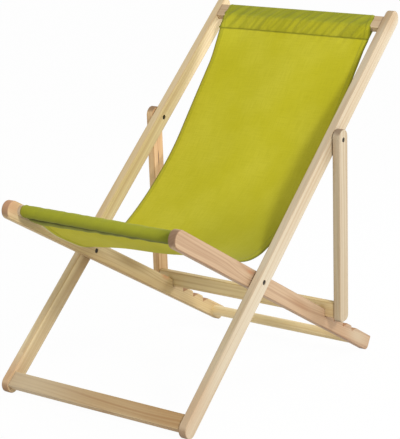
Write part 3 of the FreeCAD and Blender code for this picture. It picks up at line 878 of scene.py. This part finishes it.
def canvas(name):
    finish = new_finish(name)
    flat = finish.node("ShaderNodeUVMap", {"uv_map": "flat_cut"}, {})
    across, along, _ = finish.split(flat)
    turns = 2.0 * math.pi / yarn_pitch
    weave = (across * turns).sine() * (along * turns).sine()
    yarn = finish.noise(flat, slub_scale, 2.0) * 0.5 + finish.noise(flat, cross_slub_scale, 2.0) * 0.5
    cloud = finish.noise(flat, cloud_scale, 3.0)
    sleeve, double_and_shade, line = sewn_zones(across, along)
    roll, right_end_shadow, under, crease_shade, edge_highlight = roll_zones(across, along)
    slant = across + (along - marks["top_seam"]) * ridge_slant
    slanted = finish.node("ShaderNodeCombineXYZ", {}, {0: slant, 1: along})
    # Painted fold shade: darker slanted bands across the top sleeve.
    fold_shade = finish.noise(slanted, fold_shade_scale, 1.0).step(0.44, 0.60) * sleeve
    body = finish.mix(cloud.step(0.3, 0.7), colour(195, 188, 26), colour(205, 198, 52))
    body = finish.mix(yarn.step(0.42, 0.62) * 0.28, body, colour(172, 166, 16))
    body = finish.mix(weave * 0.12 + 0.12, body, colour(152, 146, 12))
    # Painted shade: the seat's right side, and the right rail's shadow on the low back.
    body = finish.mix(painted_shade_zone(across, along), body, colour(128, 128, 8))
    # Doubled cloth, plus painted shade over the top bar.
    body = finish.mix(double_and_shade, body, colour(140, 145, 36))
    body = finish.mix(fold_shade * 0.26, body, colour(104, 108, 16))
    body = finish.mix(line * 0.58, body, colour(92, 93, 14))
    body = finish.mix(roll * 0.30, body, colour(122, 136, 40))
    # Painted shadow at the roll's right end, painted shade under it and in its crease, and a painted
    # highlight.
    body = finish.mix(right_end_shadow * 0.45, body, colour(66, 74, 10))
    body = finish.mix(under, body, colour(78, 84, 12))
    body = finish.mix(crease_shade * 0.85, body, colour(56, 58, 8))
    body = finish.mix(edge_highlight * 0.7, body, colour(232, 226, 176))
    return finish.finish(
        Base_Color=body,
        Roughness=0.82 + yarn * 0.12,
        Specular_IOR_Level=0.25,
        Sheen_Weight=0.06,
        Sheen_Roughness=0.5,
        Normal=finish.bump(weave * 0.5 + yarn * 0.8 - line * 1.5, 0.0002, 0.4),
    )


def cotton_thread(name):
    finish = new_finish(name)
    twist = finish.noise(finish.place(), (2600.0, 2600.0, 2600.0), 1.0)
    return finish.finish(
        Base_Color=finish.mix(twist, colour(150, 146, 30), colour(176, 172, 56)),
        Roughness=0.7 + twist * 0.2,
        Specular_IOR_Level=0.25,
    )


sling.data.materials.append(canvas("olive_canvas"))
stitches.data.materials.append(cotton_thread("olive_thread"))
print("cloth nodes:", len(sling.data.materials[0].node_tree.nodes))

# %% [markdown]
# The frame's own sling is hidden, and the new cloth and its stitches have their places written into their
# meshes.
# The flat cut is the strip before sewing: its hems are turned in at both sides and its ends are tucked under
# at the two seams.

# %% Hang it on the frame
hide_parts("sling")
for piece in (sling, stitches):
    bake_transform(piece)

# %% [markdown]
# ## Floor and light
# The photograph has a white ground and soft light, mostly from the right of the camera: outer faces
# are bright, front edges a little darker, and the right rail lays a soft shadow on the cloth beside it.
# A lamp of moderate size on the right gives that, a weaker one behind the chair reaches the prop and the
# rear bars, and a pale world fills the rest. The floor shows white to the camera but keeps a faint shadow.


# %% Ground
def looked_at(finish):
    """1 for the rays that show a surface, straight or in a reflection, and 0 for those that only light."""
    camera_rays = finish.node("ShaderNodeLightPath", {}, {}, "Is Camera Ray")
    glossy_rays = finish.node("ShaderNodeLightPath", {}, {}, "Is Glossy Ray")
    clear_rays = finish.node("ShaderNodeLightPath", {}, {}, "Is Transmission Ray")
    return camera_rays.larger(glossy_rays).larger(clear_rays)


def white_ground(name, own_light):
    """White where it is looked at, and a plain white floor to everything else."""
    finish = new_finish(name)
    glow = finish.node("ShaderNodeEmission", {}, {"Color": colour(255, 255, 255), "Strength": 1.0})
    plain = Field(finish, finish.shader.outputs[0])
    shown = finish.node("ShaderNodeMixShader", {}, {0: looked_at(finish) * own_light, 1: plain, 2: glow})
    finish.fill(finish.tree.nodes["Material Output"], {"Surface": shown})
    return finish.finish(Base_Color=colour(230, 230, 229), Roughness=0.9)


floor_reach = 14.0
floor_mesh = bmesh.new()
bmesh.ops.create_grid(floor_mesh, x_segments=1, y_segments=1, size=floor_reach)
floor_data = bpy.data.meshes.new("floor")
floor_mesh.to_mesh(floor_data)
floor_mesh.free()
floor = bpy.data.objects.new("floor", floor_data)
bpy.context.scene.collection.objects.link(floor)
floor_data.materials.append(white_ground("white_ground", 0.97))
print("floor:", 2.0 * floor_reach, "m wide")

# %% Sky
sky_level = 0.69
sky = Finish(bpy.data.worlds.new("studio"), "Background")
strength = looked_at(sky) * (1.0 - sky_level) + sky_level
bpy.context.scene.world = sky.finish(Color=colour(255, 255, 255), Strength=strength)
print("sky:", sky_level)


# %% Lamps
def lamp(name, place, aim, size, power):
    data = bpy.data.lights.new(name, "AREA")
    data.shape = "SQUARE"
    data.size = size
    data.energy = power
    made = bpy.data.objects.new(name, data)
    made.location = place
    made.rotation_euler = (Vector(aim) - Vector(place)).to_track_quat("-Z", "Y").to_euler()
    bpy.context.scene.collection.objects.link(made)
    print("lamp:", name, power, "W")


lamp("key", (3.10, -1.45, 2.25), (0.0, 0.0, 0.45), 0.6, 74.0)
lamp("rear_right", (1.5, 2.5, 1.7), (0.0, 0.0, 0.4), 1.2, 44.0)
